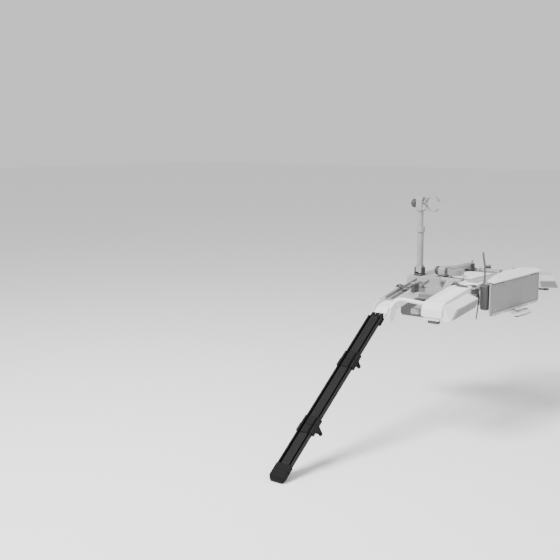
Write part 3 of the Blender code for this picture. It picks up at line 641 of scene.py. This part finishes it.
def wheel_strap(name, side, body, y, half, x, rim, sag):
    """Ladder strap with its teeth, from the buckle across the tray to its anchor."""
    buckle_low, buckle_high = low(name + "_buckle"), high(name + "_buckle")
    near = (buckle_low.y + buckle_high.y) / 2
    top = buckle_high.z
    far = y + half + 0.0035
    out = Vector((side, 0, 0))
    points = [(side * x, near, top - 0.006), (side * x, near + 0.002, max(top, rim) + 0.004),
              (side * x, y - half * 0.72, rim + 0.0050), (side * x, y - half * 0.3, rim + 0.0035 - sag),
              (side * x, y + half * 0.3, rim + 0.0035 - sag), (side * x, y + half * 0.72, rim + 0.0055),
              (side * x, far + 0.0002, rim + 0.003), (side * x, far, rim - 0.014)]
    strap_band(name + "_strap", points, 0.024, 0.0024, out, body, LADDER)
    bm = bmesh.new()
    path = smooth(points)
    for i in range(8, len(path) - 8, 2):
        ahead = (path[i + 1] - path[i - 1]).normalized()
        normal = out.cross(ahead).normalized()
        if normal.z < 0:
            normal = -normal
        turn = Matrix((out, ahead, out.cross(ahead))).transposed().to_4x4()
        block(bm, path[i] + normal * 0.0017, (0.0150, 0.0016, 0.0014), turn)
    piece(name + "_strap_teeth", bm, LADDER, body, bevel=0.0003, segments=2)
    bm = bmesh.new()
    block(bm, Vector((side * x, far + 0.0005, rim - 0.012)), (0.030, 0.0060, 0.014))
    screw_head(bm, Vector((side * x, far + 0.0034, rim - 0.012)), Y_AXIS, 0.0036)
    piece(name + "_strap_anchor", bm, MATERIALS["dark_plastic"], body,
          bevel=0.0010, segments=3)


def wing(side):
    """Everything on one wing: -1 is the left one and 1 the right one."""
    name = "left" if side < 0 else "right"
    refine(name + "_wing_frame", 0.0022)
    refine(name + "_wing_hinge_pin", 0.0008)
    refine(name + "_front_tray", 0.0006, 2)
    refine(name + "_rear_tray", 0.0030, 4, angle=18.0)
    refine(name + "_light_housing", 0.0042, 4)
    refine(name + "_light_lens", 0.0009, 2)
    refine(name + "_wing_handle", 0.0012, 2, angle=50.0)
    refine(name + "_tray_slider", 0.0008, 2)
    refine(name + "_ramp_bar", 0.0007, 2)
    tray_treads(name, side)
    rear_tray_details(name, side)
    light_details(name, side)
    side_marker(name, side)
    for tray in ("front", "rear"):
        refine("%s_%s_buckle" % (name, tray), 0.0018)
        refine("%s_%s_buckle_lever" % (name, tray), 0.0010, 2)
        turned_pin("%s_%s_lever_pin" % (name, tray), [(0.0, 0.0095), (0.0030, 0.0095), (0.0034, 0.0088)],
                   "%s_%s_lever_lift" % (name, tray), Y_AXIS,
                   name + ("_tray_end" if tray == "front" else "_wing"))
    floor = tray_point(side, (FRONT_STRAP_X - TRAY_ROOT[0]) / cos(TRAY_SLOPE), FRONT_TRAY_Y).z
    wheel_strap(name + "_front", side, name + "_tray_end", FRONT_TRAY_Y, 0.042, FRONT_STRAP_X,
                floor + FRONT_RIM, 0.006)
    wheel_strap(name + "_rear", side, name + "_wing", REAR_TRAY_Y, 0.0515, REAR_STRAP_X, REAR_RIM_Z, 0.004)


# ------------------------------------------------------------------ platform
def plate():
    """Number plate holder with its hood, lamps, screws, clips, a dark strip painted as the hood's shadow, and
    lower rim.
    """
    refine("plate_holder", 0.0016, finish=PLATE_GREY)
    refine("plate_hood", 0.0022)
    refine("plate_lamps", 0.0008, 2)
    refine("rear_bracket", 0.0024)
    face = low("plate_holder").y
    bottom, top = low("plate_holder").z, high("plate_holder").z
    left, right = low("plate_holder").x, high("plate_holder").x
    middle, width = (left + right) / 2, right - left
    bm = bmesh.new()
    for x in (left + 0.058, -0.070, 0.070, right - 0.058):
        for z in (bottom + 0.028, top - 0.026):
            screw_head(bm, Vector((x, face + 0.0023, z)), -Y_AXIS, 0.0034, 0.0020)
    piece("plate_screws", bm, MATERIALS["steel"], "platform")
    bm = bmesh.new()
    for x in (-0.150, 0.0, 0.150):
        block(bm, Vector((x, face - 0.0008, bottom + 0.0062)), (0.030, 0.0060, 0.0075))
    piece("plate_clips", bm, MATERIALS["pale_plastic"], "platform",
          bevel=0.0012, segments=3)
    # dark strip just under the hood: painted shadow that the hood casts on the plate
    bm = bmesh.new()
    block(bm, Vector((middle, face + 0.0012, top - 0.0090)), (width - 0.040, 0.0022, 0.0110))
    piece("plate_hood_painted_shadow", bm, PAINTED_SHADOW_AND_DARK_PARTS, "platform", bevel=0.0005, segments=2)
    bm = bmesh.new()
    block(bm, Vector((middle, face + 0.0006, bottom + 0.0072)), (width - 0.034, 0.0044, 0.0130))
    piece("plate_lower_rim", bm, RIM_GREY, "platform", bevel=0.0012, segments=3)


def platform():
    """Frame, centre cover, top pad and foot pedal."""
    refine("platform_frame", 0.0022)
    refine("centre_cover", 0.0030, 3)
    refine("pedal_pivot", 0.0008)
    refine("foot_pedal", 0.0022, 3, angle=25.0)
    centre_pad()
    pedal_details()


def centre_pad():
    """Raised pad on top of the centre cover, with cross ribs."""
    box_low, box_high = low("centre_top_pad"), high("centre_top_pad")
    bm = bmesh.new()
    centre = (box_low + box_high) / 2
    block(bm, centre, tuple(box_high - box_low))
    piece("centre_pad", bm, MATERIALS["pale_plastic"], "platform", ("centre_top_pad",),
          0.0022, 4)
    bm = bmesh.new()
    count, pitch = 9, 0.020
    for i in range(count):
        y = box_low.y + pitch + pitch * i
        block(bm, Vector((0, y, box_high.z + 0.0004)), (box_high.x - box_low.x - 0.050, 0.0060, 0.0016))
    piece("centre_pad_ribs", bm, MATERIALS["pale_plastic"], "platform",
          bevel=0.0007, segments=2)


def pedal_details():
    """Grip ribs on the face of the foot pedal and its dark sole."""
    count, pitch = 9, 0.014
    bm = bmesh.new()
    for i in range(count):
        x = -0.056 + pitch * i
        reach = 0.026 * (1 - (abs(x) / 0.09) ** 2)      # shorter towards the pedal's ends
        extruded(bm, rib(0.0, 0.0022, 0.0012, -0.0006, 0.0016), Vector((x, PEDAL_Y, PEDAL_TOP_Z)),
                 PEDAL_RISE, X_AXIS, Z_AXIS, -reach * 0.55, reach * 0.55)
    piece("pedal_grips", bm, PLATE_GREY, "foot_pedal", bevel=0.0004, segments=2)
    bm = bmesh.new()
    rows = []
    swell = [(0.080, 0.46), (0.066, 0.85), (0.033, 0.95)]       # distance from the middle, size
    for x, grow in [(-x, grow) for x, grow in swell] + [(0.0, 1.0)] + swell[::-1]:
        depth, height = 0.026 * grow, 0.011 * grow
        front, under = PEDAL_Y - 0.92 * depth, 0.030 - 0.60 * height
        rows.append([bm.verts.new((x, front + y, under + z))
                     for y, z in ((0.0, 0.0), (0.012, -0.0055), (0.012, -0.0015), (0.004, 0.004))])
    bridge(bm, rows)
    bm.faces.new(rows[0])
    bm.faces.new(reversed(rows[-1]))
    piece("pedal_sole", bm, PAINTED_SHADOW_AND_DARK_PARTS, "foot_pedal", bevel=0.0006, segments=2)


def coupling():
    """Tow ball coupling with its clamp lever and the tilt pin."""
    refine("coupling_housing", 0.0030)
    refine("ball_socket_liner", 0.0006, 2)
    refine("tilt_pin", 0.0012, 2)
    lever = refine("clamp_lever", 0.0022)
    middle = (low("clamp_lever").x + high("clamp_lever").x) / 2
    for vertex in lever.data.vertices:
        vertex.co.x = middle + LEVER_GAP_SCALE * (vertex.co.x - middle)


GRIP_COUNT, GRIP_RADIUS = 14, 0.0200       # ridges round a clamp knob


def arms():
    """Two frame arms with their clamps."""
    for index in (1, 2):
        name = "arm_%d_" % index
        refine(name + "base", 0.0014)
        refine(name + "post", 0.0010, 2)
        refine(name + "clamp_head", 0.0016)
        refine(name + "clamp_jaw", 0.0012)
        refine(name + "clamp_knob", 0.0014)
        knob_joint = JOINTS[name + "knob_turn"]
        centre, axis = Vector(knob_joint["pos_m"]), Vector(knob_joint["axis"])
        bm = bmesh.new()
        for i in range(GRIP_COUNT):
            angle = 2 * pi * i / GRIP_COUNT
            place = centre + Vector((GRIP_RADIUS * cos(angle), 0.0150, GRIP_RADIUS * sin(angle)))
            block(bm, place, (0.0026, 0.0170, 0.0034), Matrix.Rotation(-angle, 4, "Y"))
        top = Vector((centre.x, high(name + "clamp_knob").y - 0.0008, centre.z))
        screw_head(bm, top, axis, 0.0052, 0.0028)
        piece(name + "knob_grips", bm, MATERIALS["dark_plastic"], name + "knob",
              bevel=0.0008, segments=2)
        half = [(0.0, 0.0164), (0.0046, 0.0164), (0.0050, 0.0160), (0.0050, 0.0150), (0.0030, 0.0148)]
        jaw_joint = name + "jaw_open"
        turned_pin(name + "jaw_pin", half, jaw_joint, JOINTS[jaw_joint]["axis"], name + "head")


# ------------------------------------------------------------------ floor and light
LIGHTS = (("key", (-3.4, 0.2, 4.2), 2.2, 560.0),      # name, place, size in metres, power in watts
          ("fill", (1.2, -3.0, 3.2), 3.0, 30.0))
LIGHT_AIM = Vector((-0.3, -0.3, 0.0))


def studio():
    """Pale floor, white world and two soft round lights."""
    bpy.ops.mesh.primitive_plane_add(size=60.0, location=(0, 0, GROUND_Z - 0.0005))
    floor = bpy.context.object
    floor.name = "floor"
    n = Nodes("floor_white")
    tone = n.mix(n.span(n.noise(0.8, 3.0), 0.0, 1.0), (0.92, 0.92, 0.92), (0.93, 0.93, 0.93))
    roughness = n.span(n.noise(6.0, 2.0), 0.78, 0.86)
    floor.data.materials.append(n.done(tone, roughness, n.bump(n.noise(90.0, 2.0), 0.02, 0.001)))

    world = bpy.data.worlds.new("studio")
    world.use_nodes = True
    background = world.node_tree.nodes["Background"]
    background.inputs["Color"].default_value = (1.0, 1.0, 1.0, 1.0)
    background.inputs["Strength"].default_value = 0.85
    bpy.context.scene.world = world
    for name, place, size, power in LIGHTS:
        data = bpy.data.lights.new(name, "AREA")
        data.shape = "DISK"
        data.size = size
        data.energy = power
        made = bpy.data.objects.new(name, data)
        made.location = place
        made.rotation_euler = (LIGHT_AIM - Vector(place)).to_track_quat("-Z", "Y").to_euler()
        bpy.context.scene.collection.objects.link(made)


camera()
ramp()
for wing_side in (-1, 1):
    wing(wing_side)
plate()
loose_ends()
platform()
coupling()
arms()
for node_name, node_object in frame["nodes"].items():
    node_object.data.materials.clear()
    node_object.data.materials.append(MATERIALS[SLOTS[node_name]])
studio()
